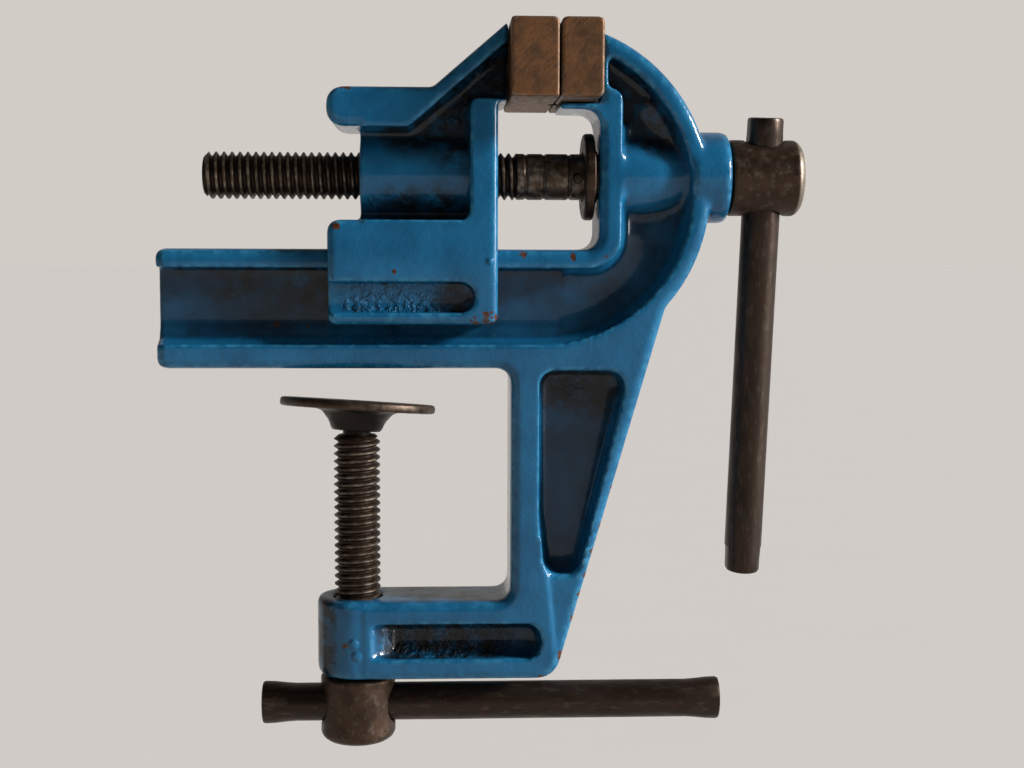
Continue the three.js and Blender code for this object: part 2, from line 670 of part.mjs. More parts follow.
function clampScrew() {
  const bottom = CLAMP_HEAD_TOP - CLAMP_HEAD_LENGTH;
  const body = alongZ([
    [0, bottom],
    [HEAD_RADIUS - HEAD_CHAMFER, bottom],
    [HEAD_RADIUS, bottom + HEAD_CHAMFER],
    [HEAD_RADIUS, CLAMP_HEAD_TOP - HEAD_BREAK],
    [HEAD_RADIUS - HEAD_BREAK, CLAMP_HEAD_TOP],
    [SCREW_RADIUS, CLAMP_HEAD_TOP],
    [SCREW_RADIUS, SHOULDER_Z - SHOULDER_BEVEL],
    [SCREW_RADIUS - SHOULDER_BEVEL, SHOULDER_Z],
    [NECK_RADIUS, SHOULDER_Z],
    [NECK_RADIUS, RIVET_TOP - RIVET_THICK],
    [RIVET_RADIUS, RIVET_TOP - RIVET_THICK],
    [RIVET_RADIUS - RIVET_BEVEL[0], RIVET_TOP - RIVET_BEVEL[1]],
    [NECK_RADIUS, RIVET_TOP],
    [0, RIVET_TOP],
  ]);
  const barHole = alongX(rod(BAR_HOLE, -HEAD_RADIUS - PAST, HEAD_RADIUS + PAST), CLAMP_BAR_Z, SMALL_STEPS);
  return body.subtract(barHole);
}

// The pad's own origin is the point that it rocks on.
function clampPad() {
  const top = PAD_PIVOT;
  return alongZ([
    [PAD_BORE, top - PAD_HEIGHT],
    [PAD_HUB_FOOT, top - PAD_HEIGHT],
    [PAD_HUB_TOP, top - PAD_THICK],
    [PAD_RADIUS - PAD_BEVEL, top - PAD_THICK],
    [PAD_RADIUS, top - PAD_THICK + PAD_BEVEL],
    [PAD_RADIUS, top - PAD_BEVEL],
    [PAD_RADIUS - PAD_BEVEL, top],
    [PAD_RECESS_RADIUS, top],
    [PAD_RECESS_RADIUS, top - PAD_RECESS_DEPTH],
    [PAD_BORE, top - PAD_RECESS_DEPTH],
    [PAD_BORE, top - PAD_HEIGHT],
  ]);
}

// A bar along Z from `from` upwards, with a flattened end at both ends.
function tommyBar(from, wideAxis) {
  const to = from + BAR_LENGTH;
  const swage = (start, end) => {
    const geometry = turned(rod(1, start, end), SMALL_STEPS);
    const wide = wideAxis === 'x' ? [SWAGE_WIDE, SWAGE_THIN] : [SWAGE_THIN, SWAGE_WIDE];
    geometry.scale(wide[0], wide[1], 1);
    return solidOf(geometry);
  };
  const inside = SWAGE_LENGTH - SWAGE_ROOT;
  const shank = alongZ(rod(BAR_RADIUS, from + inside, to - inside), SMALL_STEPS);
  return joined(shank, swage(from, from + SWAGE_LENGTH), swage(to - SWAGE_LENGTH, to));
}

// ---------------------------------------------------------------- assembly
const vise = new THREE.Group();

function place(group, name, solid, material) {
  const mesh = new THREE.Mesh(geometryOf(solid), material);
  mesh.name = name;
  group.add(mesh);
  return mesh;
}

place(vise, 'frame_casting', frameCasting(), castBlue());
place(vise, 'moving_jaw_casting', movingJawCasting(), castBlue());

const fixedSolid = jawBlock(FIXED_BLOCK, GRIP_CORNER, FIXED_BACK_CORNER);
const fixedBlock = place(vise, 'fixed_jaw_block', fixedSolid, jawSteel());
fixedBlock.position.x = fixedBlockLeft;
const movingSolid = jawBlock(MOVING_BLOCK, GRIP_CORNER, MOVING_BACK_CORNER);
const movingBlock = place(vise, 'moving_jaw_block', movingSolid, jawSteel());
movingBlock.rotation.z = Math.PI;
movingBlock.position.x = movingBlockRight;

JAW_SCREW_HEIGHTS.forEach((z, i) => {
  const level = ['lower', 'upper'][i];
  const fixed = place(vise, `fixed_jaw_screw_${level}`, jawScrew(FIXED_BLOCK), darkSteel());
  fixed.position.set(fixedBlockLeft, 0, z);
  const moving = place(vise, `moving_jaw_screw_${level}`, jawScrew(MOVING_BLOCK), darkSteel());
  moving.rotation.z = Math.PI;
  moving.position.set(movingBlockRight, 0, z);
});

const mainSpindle = new THREE.Group();
mainSpindle.position.z = SCREW_Z;
mainSpindle.rotation.x = THREE.MathUtils.degToRad(MAIN_TURN);
vise.add(mainSpindle);
place(mainSpindle, 'main_screw', mainScrew(), darkSteel());
place(mainSpindle, 'retaining_washer', retainingWasher(), darkSteel());
place(mainSpindle, 'retaining_pin', alongY(PIN_RADIUS, pinX, 0, PIN_LENGTH / 2), darkSteel());
const mainBar = place(mainSpindle, 'main_tommy_bar', tommyBar(MAIN_BAR_RISE - BAR_LENGTH, 'y'), darkSteel());
mainBar.position.x = mainBarX;
mainBar.rotation.y = THREE.MathUtils.degToRad(MAIN_BAR_LEAN);

place(vise, 'clamp_screw', clampScrew(), darkSteel());
const clampBar = place(vise, 'clamp_tommy_bar', tommyBar(CLAMP_BAR_LEFT, 'x'), darkSteel());
clampBar.position.z = CLAMP_BAR_Z;
clampBar.rotation.y = Math.PI / 2;

const pad = place(vise, 'clamp_pad', clampPad(), darkSteel());
pad.position.z = PAD_TOP - PAD_PIVOT;
pad.rotation.set(THREE.MathUtils.degToRad(PAD_PITCH), THREE.MathUtils.degToRad(PAD_ROLL), 0);

export default vise;
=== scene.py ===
"""Looks for a small blue cast-iron bench vise that clamps to the edge of a table."""

import math

import bpy
import numpy as np
from bpy.props import FloatProperty, FloatVectorProperty, IntProperty, PointerProperty
from bpy.types import Operator, Panel, PropertyGroup
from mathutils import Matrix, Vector


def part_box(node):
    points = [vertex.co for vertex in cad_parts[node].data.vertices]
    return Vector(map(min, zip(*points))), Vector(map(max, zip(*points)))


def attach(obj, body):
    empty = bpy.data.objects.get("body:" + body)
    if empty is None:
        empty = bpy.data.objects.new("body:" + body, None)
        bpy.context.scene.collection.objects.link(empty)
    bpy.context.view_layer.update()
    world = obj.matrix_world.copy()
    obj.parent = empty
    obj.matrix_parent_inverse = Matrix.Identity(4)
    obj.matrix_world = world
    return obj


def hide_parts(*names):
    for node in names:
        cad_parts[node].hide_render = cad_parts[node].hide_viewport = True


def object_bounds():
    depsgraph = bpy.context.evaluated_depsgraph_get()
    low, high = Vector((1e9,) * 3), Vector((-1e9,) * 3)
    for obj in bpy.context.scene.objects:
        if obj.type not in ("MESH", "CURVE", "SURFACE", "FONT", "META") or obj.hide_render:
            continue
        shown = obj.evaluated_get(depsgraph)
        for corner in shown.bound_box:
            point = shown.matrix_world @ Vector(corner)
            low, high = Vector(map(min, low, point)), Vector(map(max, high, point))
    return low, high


bl_info = {
    "name": "Table Clamp Bench Vise",
    "version": (1, 0, 0),
    "blender": (4, 5, 0),
    "location": "3D View > Sidebar > Bench Vise",
    "description": "Builds the castings, screws, bars and jaw blocks of a small bench vise",
    "category": "Object",
}

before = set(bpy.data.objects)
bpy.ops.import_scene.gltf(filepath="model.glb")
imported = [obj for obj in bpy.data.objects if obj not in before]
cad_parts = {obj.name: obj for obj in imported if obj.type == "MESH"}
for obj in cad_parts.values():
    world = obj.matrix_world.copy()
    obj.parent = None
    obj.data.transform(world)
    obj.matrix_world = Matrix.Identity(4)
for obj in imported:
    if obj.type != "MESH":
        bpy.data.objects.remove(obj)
CAD_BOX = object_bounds()
MM = 0.001

# Measured on the CAD nodes, so that each new piece lies where its solid does.
MAIN_LOW, MAIN_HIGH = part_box("main_screw")
CLAMP_LOW, CLAMP_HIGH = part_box("clamp_screw")
WASHER_LOW, WASHER_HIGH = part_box("retaining_washer")
CLAMP_BAR_LOW, CLAMP_BAR_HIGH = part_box("clamp_tommy_bar")
FRAME_LOW, FRAME_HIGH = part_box("frame_casting")
SCREW_AXIS_Z = (WASHER_LOW.z + WASHER_HIGH.z) / 2

# Where each screw's head begins, just clear of the frame, and where its cross hole runs.
MAIN_HEAD_X = FRAME_HIGH.x + 0.3 * MM
MAIN_HOLE_X = (MAIN_HEAD_X + MAIN_HIGH.x) / 2
CLAMP_HEAD_Z = FRAME_LOW.z - 0.5 * MM
CLAMP_HOLE_Z = (CLAMP_BAR_LOW.z + CLAMP_BAR_HIGH.z) / 2

# Along the main screw, as ways back from its washer: the thread's end, three turned rings and
# the pin. The main bar stands BAR_RISE above the screw's axis, and the clamp screw ends in a
# neck with a riveted end, NECK_LENGTH long.
THREAD_FROM_WASHER = 17.3 * MM
RINGS_FROM_WASHER = (14.6 * MM, 10.0 * MM, 3.6 * MM)
PIN_FROM_WASHER = 1.6 * MM
BAR_RISE = 15.4 * MM
NECK_LENGTH = 7.7 * MM

# The pad presses a table whose underside is at this height in mm, and tips about a point that
# lies PAD_FACE_RISE mm below its own face.
TABLE_UNDERSIDE = -9
PAD_FACE_RISE = 5.6

# Edges sharper than these stay crisp.
CRISP_EDGE = math.radians(38)
CRISP_THREAD = math.radians(30)

# The floor lies below the opened clamp. The camera looks along the vise's side.
FLOOR_DROP = 46 * MM
CAMERA_PLACE = (0.0215, -0.3845, 0.0298)
CAMERA_TURN = (84.8775, -0.1998, -2.7518)
CAMERA_LENS = 52.45


def mm(text, value, description):
    return FloatProperty(name=text, description=description, default=value * MM, unit="LENGTH", precision=5)


def linear(code):
    """An sRGB hex colour as linear red, green, blue and alpha."""
    parts = [int(code[i:i + 2], 16) / 255 for i in (1, 3, 5)]
    return [c / 12.92 if c <= 0.04045 else ((c + 0.055) / 1.055) ** 2.4 for c in parts] + [1]


def colour(text, code, description):
    return FloatVectorProperty(name=text, description=description, default=linear(code),
                               size=4, min=0, max=1, subtype="COLOR")


# Places on the castings, as x, y, z and radius in mm: where the enamel is knocked off, where
# oily dust has caked, where the casting is left rough, and where a drip of paint has dried.
# Two of the frame's caked places are painted shade on the left side of the clamp boss.
FRAME_PLACES = {
    "knocks": [
        (66.8, -9, -26, 0.5), (65.3, -9, -31, 0.9), (62.6, -9, -40, 0.7), (61.4, -9, -44, 0.5),
        (60.6, -9, -47, 0.9), (59, -9, -53, 0.6), (57.3, -9, -58, 0.5), (55.6, -9, -64, 0.6),
        (52.5, -9, -74, 1.0), (47, -9, -79, 0.8), (42, -10, 28.5, 0.9), (55, -10, 28, 0.6),
        (63, -10, 28.5, 0.4), (-9, -7, -61, 1.1), (-3, -10, -71, 0.6), (-48.5, -9, 3, 0.4),
        (-20, -4, 11, 1.0), (-12, -4, 10, 0.5), (64, 9, -35, 1.0), (20, 10, 29.5, 1.1),
        (-47, 10, 28, 0.8), (50, 9, -79, 1.0), (75, 10, 76, 0.8)],
    "filth_and_shade": [
        (52, -4, -3, 5), (60, -4, -5, 4), (16, -5, -70, 8), (28, -5, -70, 7), (70, -4, 70, 6),
        (76, -4, 60, 4), (16, 5, -70, 7), (52, 4, -3, 6), (70, 4, 70, 5), (-20, 5, 16, 6),
        # The spots at x -9, z -62 and z -74 lie on the clamp boss's left side and paint shade there.
        (-30, -4, 24, 4), (-10, -4, 22, 6), (-9, -5, -62, 4), (-9, -5, -74, 4)],
    "rough": [(14, -4, -70, 5), (24, -4, -70, 6), (35, -4, -70, 4), (20, 4, -70, 8), (54, -4, -4, 3)],
    "drips": [
        (-0.6, -10.2, -70.4, 0.5), (0.2, -10.2, -73.6, 0.5), (87.5, -4, 38, 0.4),
        (12.5, -9, -66, 0.4)],
}
JAW_PLACES = {
    "knocks": [
        (-4, -14, 35.5, 0.5), (33.5, -14, 12.6, 1.9), (30, -14, 12.2, 0.9), (-1.5, -13, 69.5, 1.0),
        (10, -14, 24.2, 0.5), (16, -14, 23.2, 0.5), (22, -14, 23.6, 0.4), (35.5, -13, 30, 0.4),
        (-5, 13, 14, 1.1), (34, 13, 60, 1.0)],
    "filth_and_shade": [
        (30, -6, 73, 9), (22, -6, 64, 5), (34, -6, 80, 8), (14, -6, 60, 4), (26, -12, 57, 4),
        (28, -11, 18, 4), (12, -10, 39, 3), (22, -10, 39, 3), (30, 6, 73, 7), (28, 11, 18, 4),
        (20, 6, 60, 4)],
    "rough": [
        (2, -11.5, 18, 3), (9, -11.5, 17, 4), (17, -11.5, 18, 4), (5, -10, 39, 2.5), (13, -10, 39, 2.5),
        (21, -10, 39, 2.5), (33, -5, 73, 3), (27, -5, 65, 3), (10, 11.5, 18, 6), (30, 5, 69, 4)],
    "drips": [(33.8, -14, 27, 0.1), (4, -13.6, 56.5, 0.1)],
}


class ViseSizes(PropertyGroup):
    cast_voxel: mm("Casting detail", 0.75, "Grid on which the castings' surface is rebuilt")
    jaw_voxel: mm("Jaw casting detail", 0.6, "Grid on which the moving jaw's surface is rebuilt")
    block_voxel: mm("Block detail", 0.28, "Grid on which the worn jaw blocks are rebuilt")
    head_voxel: mm("Head detail", 0.32, "Grid on which the rounded screw heads are rebuilt")
    pad_voxel: mm("Pad detail", 0.4, "Grid on which the rounded pad is rebuilt")
    thread_pitch: mm("Thread pitch", 2.0, "Distance between two turns of a thread")
    thread_radius: mm("Thread radius", 5.95, "Outer radius of both screws")
    thread_root: mm("Thread root radius", 4.95, "Radius at the bottom of the thread")
    shank_radius: mm("Shank radius", 5.85, "Radius of the plain part of the main screw")
    head_radius: mm("Head radius", 9.7, "Radius of both screw heads")
    bar_radius: mm("Bar radius", 4.9, "Radius of a tommy bar")
    bar_hole: mm("Bar hole radius", 5.4, "Radius of the cross hole in a screw head")
    bar_length: mm("Bar length", 120.0, "Length of a tommy bar")
    main_lean: FloatProperty(
        name="Main bar lean", description="How far the loose bar leans in its hole",
        default=math.radians(1), subtype="ANGLE")
    main_turn: FloatProperty(
        name="Main screw turn", description="How far the main screw is turned from upright",
        default=math.radians(5), subtype="ANGLE")
    pad_roll: FloatProperty(
        name="Pad roll", description="How far the loose pad sags to the right",
        default=math.radians(3.7), subtype="ANGLE")
    pad_pitch: FloatProperty(
        name="Pad pitch", description="How far the loose pad sags to the back",
        default=math.radians(-5.5), subtype="ANGLE")
    facets: IntProperty(name="Facets", description="Sides of a turned piece", default=72, min=12)


class ViseColours(PropertyGroup):
    enamel: colour("Enamel", "#19618A", "Blue paint of the castings")
    # Also painted shade in the castings' hollows.
    enamel_deep: colour("Deep enamel", "#0B4568", "Where the paint lies thick, and painted shade in a hollow")
    # Also a painted highlight on the castings' edges.
    worn_enamel_and_highlight: colour("Worn enamel and highlight", "#3A86AA", "Where the paint is rubbed thin on an edge, with a painted highlight")
    # Painted shade: a dark paint colour laid in the casting recesses.
    painted_recess_shade: colour("Painted recess shade", "#0A1B28", "Paint darkened in the recesses as painted shade")
    grime: colour("Grime", "#14130F", "Old oil and dust in the hollows")
    rust: colour("Rust", "#6B3A1E", "Where the paint is knocked off")
    steel: colour("Dark steel", "#443327", "Screws and bars with their brown oxide skin")
    steel_worn: colour("Worn steel", "#8A7F72", "Where that skin is rubbed away")
    steel_root: colour("Oily steel", "#15110E", "Oil and dirt in the roots of a thread")
    patina: colour("Jaw patina", "#7A5536", "Brown skin of the jaw blocks")
    patina_dark: colour("Dark jaw patina", "#3C291C", "Grinding streaks in it")
    floor: colour("Floor", "#E6E2DE", "The stage's floor")


# ---------------------------------------------------------------- working by hand, in code
def sizes():
    return bpy.context.scene.vise_sizes


def colours():
    return bpy.context.scene.vise_colours


def only(obj):
    """Makes this the one selected and active object."""
    bpy.ops.object.select_all(action="DESELECT")
    obj.select_set(True)
    bpy.context.view_layer.objects.active = obj
    return obj


def edit(obj, kind="FACE"):
    only(obj)
    bpy.ops.object.mode_set(mode="EDIT")
    bpy.ops.mesh.select_mode(type=kind)


def done():
    bpy.ops.object.mode_set(mode="OBJECT")
    return bpy.context.active_object


def modify(obj, kind, **settings):
    """Adds a modifier with these settings and applies it."""
    only(obj)
    modifier = obj.modifiers.new(kind.title(), kind)
    for name, value in settings.items():
        setattr(modifier, name, value)
    bpy.ops.object.modifier_apply(modifier=modifier.name)
    return obj


def cut(obj, *cutters, operation="DIFFERENCE"):
    for cutter in cutters:
        modify(obj, "BOOLEAN", operation=operation, object=cutter, solver="EXACT")
        bpy.data.objects.remove(cutter)
    return obj


def join(name, *parts):
    bpy.ops.object.select_all(action="DESELECT")
    for part in parts:
        part.select_set(True)
    bpy.context.view_layer.objects.active = parts[0]
    bpy.ops.object.join()
    parts[0].name = parts[0].data.name = name
    return parts[0]


def added(name, add, **settings):
    """Adds a primitive with one of Blender's own operators, with nothing else selected."""
    bpy.ops.object.select_all(action="DESELECT")
    add(**settings)
    obj = bpy.context.active_object
    obj.name = name
    return obj


def block(name, size, place=(0, 0, 0), tilt=0.0):
    """A box of this size round its place, tilted about X."""
    obj = added(name, bpy.ops.mesh.primitive_cube_add, size=1, location=place)
    obj.scale = size
    obj.rotation_euler.x = tilt
    only(obj)
    bpy.ops.object.transform_apply(location=True, rotation=True, scale=True)
    return obj


def turned(name, profile, hollow=False):
    """A turned piece along Z: a ring drawn out from height to height of its profile.

    Each entry is (radius, height) or (radius along X, radius along Y, height).
    """
    steps = [(step[0], step[-2], step[-1]) for step in profile]
    first = steps[0]
    obj = added(name, bpy.ops.mesh.primitive_circle_add, vertices=sizes().facets, radius=1,
                fill_type="NOTHING" if hollow else "NGON", location=(0, 0, first[2]))
    edit(obj, "EDGE" if hollow else "FACE")
    bpy.ops.mesh.select_all(action="SELECT")
    bpy.ops.transform.resize(value=(first[0], first[1], 1), center_override=(0, 0, first[2]))
    for before, after in zip(steps, steps[1:]):
        bpy.ops.mesh.extrude_region_move(
            TRANSFORM_OT_translate={"value": (0, 0, after[2] - before[2])})
        bpy.ops.transform.resize(
            value=(after[0] / before[0], after[1] / before[1], 1), center_override=(0, 0, after[2]))
    bpy.ops.mesh.select_all(action="SELECT")
    bpy.ops.mesh.remove_doubles(threshold=1e-7)
    bpy.ops.mesh.normals_make_consistent(inside=False)
    done()
    return apply_place(obj)


def apply_place(obj, turn=(0, 0, 0), move=(0, 0, 0)):
    """Turns and moves a finished piece, and puts its object back at the origin."""
    only(obj)
    bpy.ops.object.transform_apply(location=True, rotation=True, scale=True)
    obj.rotation_euler = turn
    obj.location = move
    bpy.ops.object.transform_apply(location=True, rotation=True, scale=True)
    return obj


def smooth(obj, angle=CRISP_EDGE):
    only(obj)
    bpy.ops.object.shade_smooth_by_angle(angle=angle)
    return obj


def cast_copy(node, name, voxel, relax):
    """A node's solid with the soft edges of a casting: rebuilt on a fine grid and relaxed."""
    obj = bpy.data.objects.new(name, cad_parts[node].data.copy())
    bpy.context.scene.collection.objects.link(obj)
    obj.data.materials.clear()
    edit(obj)
    bpy.ops.mesh.select_all(action="SELECT")
    bpy.ops.mesh.remove_doubles(threshold=1e-6)
    done()
    modify(obj, "REMESH", mode="VOXEL", voxel_size=voxel, use_smooth_shade=True)
    modify(obj, "SMOOTH", factor=0.5, iterations=relax)
    return obj


def mark_edges(obj, reach, depth):
    """Stores how far each point stands proud of, or lies below, the surface around it.

    The surface is relaxed `reach` times; a point `depth` metres above it counts as 1.
    """
    mesh = obj.data
    count = len(mesh.vertices)
    place = np.zeros(count * 3)
    mesh.vertices.foreach_get("co", place)
    place = place.reshape(-1, 3)
    normal = np.zeros(count * 3)
    mesh.vertices.foreach_get("normal", normal)
    normal = normal.reshape(-1, 3)
    pairs = np.zeros(len(mesh.edges) * 2, np.int64)
    mesh.edges.foreach_get("vertices", pairs)
    start, end = pairs.reshape(-1, 2).T
    neighbours = np.bincount(start, minlength=count) + np.bincount(end, minlength=count)
    relaxed = place.copy()
    for _ in range(reach):
        total = np.empty_like(relaxed)
        for axis in range(3):
            total[:, axis] = np.bincount(start, relaxed[end, axis], count)
            total[:, axis] += np.bincount(end, relaxed[start, axis], count)
        relaxed = (relaxed + total / neighbours[:, None]) / 2
    proud = ((place - relaxed) * normal).sum(1) / depth
    for name, values in (("edge_wear_and_highlight", proud), ("hollow", -proud)):
        attribute = mesh.attributes.new(name, "FLOAT", "POINT")
        attribute.data.foreach_set("value", np.clip(values, 0, 1).astype(np.float32))
    return obj


def helix(name, root, crest, pitch, low, high):
    """A right-hand thread along Z, cut flat at both heights."""
    # One turn's outline, as radii and shares of the pitch.
    profile = [(root, 0), (root, 0.1), (crest, 0.42), (crest, 0.58), (root, 0.9), (root, 1)]
    # A point, drawn out along the outline and then screwed round the axis.
    obj = added(name, bpy.ops.mesh.primitive_plane_add, size=0.1 * MM, location=(0, 0, 0))
    edit(obj, "VERT")
    bpy.ops.mesh.select_all(action="SELECT")
    bpy.ops.mesh.merge(type="CENTER")
    turns = math.ceil((high - low) / pitch) + 2
    bpy.ops.transform.translate(value=(root, 0, low - 1.5 * pitch))
    for before, after in zip(profile, profile[1:]):
        bpy.ops.mesh.extrude_region_move(TRANSFORM_OT_translate={
            "value": (after[0] - before[0], 0, (after[1] - before[1]) * pitch)})
    done()
    modify(obj, "SCREW", axis="Z", angle=math.tau, screw_offset=pitch, iterations=turns,
           steps=48, render_steps=48, use_merge_vertices=True, merge_threshold=1e-7,
           use_normal_calculate=True)
    edit(obj)
    for height, direction in ((low, -1), (high, 1)):
        bpy.ops.mesh.select_all(action="SELECT")
        bpy.ops.mesh.bisect(plane_co=(0, 0, height), plane_no=(0, 0, direction),
                            use_fill=True, clear_outer=True)
    bpy.ops.mesh.select_all(action="SELECT")
    bpy.ops.mesh.remove_doubles(threshold=1e-7)
    bpy.ops.mesh.normals_make_consistent(inside=False)
    done()
    return obj


# ---------------------------------------------------------------- materials
SMOOTH = {"interpolation_type": "SMOOTHSTEP"}


def add_node(tree, kind, settings=None, output=0, **inputs):
    """Adds a node, sets its properties and inputs, and returns one of its outputs.

    An input goes by its label, with _ for a space, or by its number, as _0. It is linked where
    its value is another node's output.
    """
    node = tree.nodes.new(kind)
    for name, value in (settings or {}).items():
        setattr(node, name, value)
    for name, value in inputs.items():
        socket = node.inputs[int(name[1:]) if name[1:].isdigit() else name.replace("_", " ")]
        if isinstance(value, bpy.types.NodeSocket):
            tree.links.new(value, socket)
        else:
            socket.default_value = value
    return node.outputs[output]


def new_material(name, **shader):
    """A material with its shader's whole-surface numbers; returns it, its tree and its shader."""
    material = bpy.data.materials.new(name)
    material.use_nodes = True
    tree = material.node_tree
    principled = tree.nodes["Principled BSDF"]
    for key, value in shader.items():
        principled.inputs[key.replace("_", " ")].default_value = value
    return material, tree, principled


def per_metre(millimetres):
    """The scale at which a texture on Object coordinates has features of this size."""
    return 1 / (millimetres * MM)


def clouds(tree, place, size, low, high, to_low=0.0, to_high=1.0, detail=3.0, roughness=0.5):
    """Blotches of this size in mm, with the range low..high turned into to_low..to_high."""
    cloud = add_node(tree, "ShaderNodeTexNoise", output="Fac", Vector=place, Scale=per_metre(size),
                     Detail=detail, Roughness=roughness)
    return add_node(tree, "ShaderNodeMapRange", SMOOTH, Value=cloud, From_Min=low, From_Max=high,
                    To_Min=to_low, To_Max=to_high)


def near(tree, place, spots, rim):
    """1 inside the round spots (x, y, z, radius in mm), falling to 0 over `rim` mm around them."""
    whole = 0.0
    for x, y, z, radius in spots:
        away = add_node(tree, "ShaderNodeVectorMath", {"operation": "DISTANCE"}, output="Value",
                        _0=place, _1=(x * MM, y * MM, z * MM))
        inside = add_node(tree, "ShaderNodeMapRange", SMOOTH, Value=away, From_Min=radius * MM,
                          From_Max=(radius + rim) * MM, To_Min=1, To_Max=0)
        whole = add_node(tree, "ShaderNodeMath", {"operation": "MAXIMUM"}, _0=whole, _1=inside)
    return whole


def where_all(tree, *shares):
    """High only where all of these shares are high: their product."""
    whole = shares[0]
    for share in shares[1:]:
        whole = add_node(tree, "ShaderNodeMath", {"operation": "MULTIPLY"}, _0=whole, _1=share)
    return whole


def cover(tree, skin, colour, *shares):
    """Lays a colour over a skin where all of these shares are high."""
    return add_node(tree, "ShaderNodeMix", {"data_type": "RGBA"}, output=2,
                    _0=where_all(tree, *shares), _6=skin, _7=colour)


def finish_shader(tree, shader, skin, rough, *heights):
    """Links colour and roughness, and stacks heights, each a pattern and its rise in mm."""
    tree.links.new(skin, shader.inputs["Base Color"])
    tree.links.new(rough, shader.inputs["Roughness"])
    under = {}
    for height, rise in heights:
        normal = add_node(tree, "ShaderNodeBump", Height=height, Distance=rise * MM, **under)
        under = {"Normal": normal}
    tree.links.new(normal, shader.inputs["Normal"])


def blue_enamel(name, places, face, shade_depth):
    """Enamel for a casting whose outer faces lie `face` mm from its mid-plane.

    Painted shade darkens its recesses, from a set depth in mm below those faces.
    """
    # Glossy alkyd enamel brushed over rough cast iron: a smooth skin that pools in hollows, is
    # rubbed thin along edges, and is knocked off in small rusty chips. Its hollows also get painted
    # shade, and its edges a painted highlight.
    shade = colours()
    material, tree, shader = new_material(
        name, IOR=1.5, Specular_IOR_Level=0.12, Coat_Weight=0.45, Coat_Roughness=0.07)
    place = add_node(tree, "ShaderNodeTexCoord", output="Object")
    facing = add_node(tree, "ShaderNodeTexCoord", output="Normal")
    wear_and_highlight = add_node(tree, "ShaderNodeAttribute", {"attribute_name": "edge_wear_and_highlight"}, output="Fac")
    hollow = add_node(tree, "ShaderNodeAttribute", {"attribute_name": "hollow"}, output="Fac")

    # Paint: thick and thin in patches 14 mm across, deeper in hollows (pooled paint with painted
    # shade), paler on edges (rubbed paint with a painted highlight).
    paint = cover(tree, shade.enamel, shade.enamel_deep, clouds(tree, place, 14, 0.35, 0.65, 0, 0.5))
    # Hollows: pooled paint and painted shade.
    paint = cover(tree, paint, shade.enamel_deep, hollow, 0.8)
    # Edges: rubbed paint and a painted highlight.
    edges = add_node(tree, "ShaderNodeMapRange", SMOOTH, Value=wear_and_highlight, From_Min=0.25)
    paint = cover(tree, paint, shade.worn_enamel_and_highlight, edges, clouds(tree, place, 2.5, 0.4, 0.62), 0.55)

    # Painted shade: darkens what faces sideways and lies well below the casting's outer faces, to shade the
    # recesses.
    out, sideways = [
        add_node(tree, "ShaderNodeMath", {"operation": "ABSOLUTE"},
                 _0=add_node(tree, "ShaderNodeSeparateXYZ", output="Y", Vector=vector))
        for vector in (place, facing)]
    sunk = add_node(tree, "ShaderNodeMapRange", SMOOTH, Value=out, From_Min=(face - shade_depth) * MM,
                    From_Max=(face - shade_depth + 4) * MM, To_Min=1, To_Max=0)
    flat = add_node(tree, "ShaderNodeMapRange", SMOOTH, Value=sideways, From_Min=0.35, From_Max=0.8)
    uneven = clouds(tree, place, 11, 0.3, 0.7, 0.5, 0.85, detail=4, roughness=0.6)
    # Here the recesses get painted shade.
    paint = cover(tree, paint, shade.painted_recess_shade, sunk, flat, uneven)

    # Grime: specks in blotches 9 mm across in every hollow, and a crust on the caked places,
    # thin on the outer faces.
    dirty = where_all(
        tree, add_node(tree, "ShaderNodeMapRange", SMOOTH, Value=hollow, From_Min=0.05, From_Max=0.8),
        clouds(tree, place, 9, 0.42, 0.68, detail=5, roughness=0.6),
        clouds(tree, place, 1.1, 0.45, 0.6, detail=4, roughness=0.65))
    below = add_node(tree, "ShaderNodeMapRange", SMOOTH, Value=out, From_Min=(face - 1.8) * MM,
                     From_Max=(face - 1) * MM, To_Min=1, To_Max=0)
    thick = add_node(tree, "ShaderNodeMapRange", SMOOTH, Value=below, To_Min=0.15)
    crust = clouds(tree, place, 4, 0.34, 0.56, detail=6, roughness=0.65)
    # Two of the frame's caked places are painted shade on the clamp boss's left side.
    caked = where_all(tree, near(tree, place, places["filth_and_shade"], 7), crust, thick, 0.92)
    dirty = add_node(tree, "ShaderNodeMath", {"operation": "MAXIMUM"}, _0=dirty, _1=caked)
    paint = cover(tree, paint, shade.grime, dirty)

    # Chips: up to about 2 mm across, a few along the edges and more where the vise was knocked.
    flakes = add_node(tree, "ShaderNodeTexNoise", output="Fac", Vector=place, Scale=per_metre(1.5),
                      Detail=6, Roughness=0.66)
    loose = add_node(tree, "ShaderNodeMath", {"operation": "MULTIPLY_ADD"}, _0=wear_and_highlight, _1=0.07, _2=flakes)
    loose = add_node(tree, "ShaderNodeMath", {"operation": "MULTIPLY_ADD"},
                     _0=near(tree, place, places["knocks"], 1), _1=0.225, _2=loose)
    chips = add_node(tree, "ShaderNodeMapRange", SMOOTH, Value=loose, From_Min=0.735, From_Max=0.75)
    iron = cover(tree, shade.rust, shade.grime, clouds(tree, place, 0.6, 0.35, 0.65, 0.1, 0.8))
    skin = cover(tree, paint, iron, chips)
    bare = add_node(tree, "ShaderNodeMath", {"operation": "MAXIMUM"}, _0=chips, _1=dirty)
    rough = add_node(tree, "ShaderNodeMix", _0=bare, _2=clouds(tree, place, 3, 0.3, 0.7, 0.17, 0.29), _3=0.45)

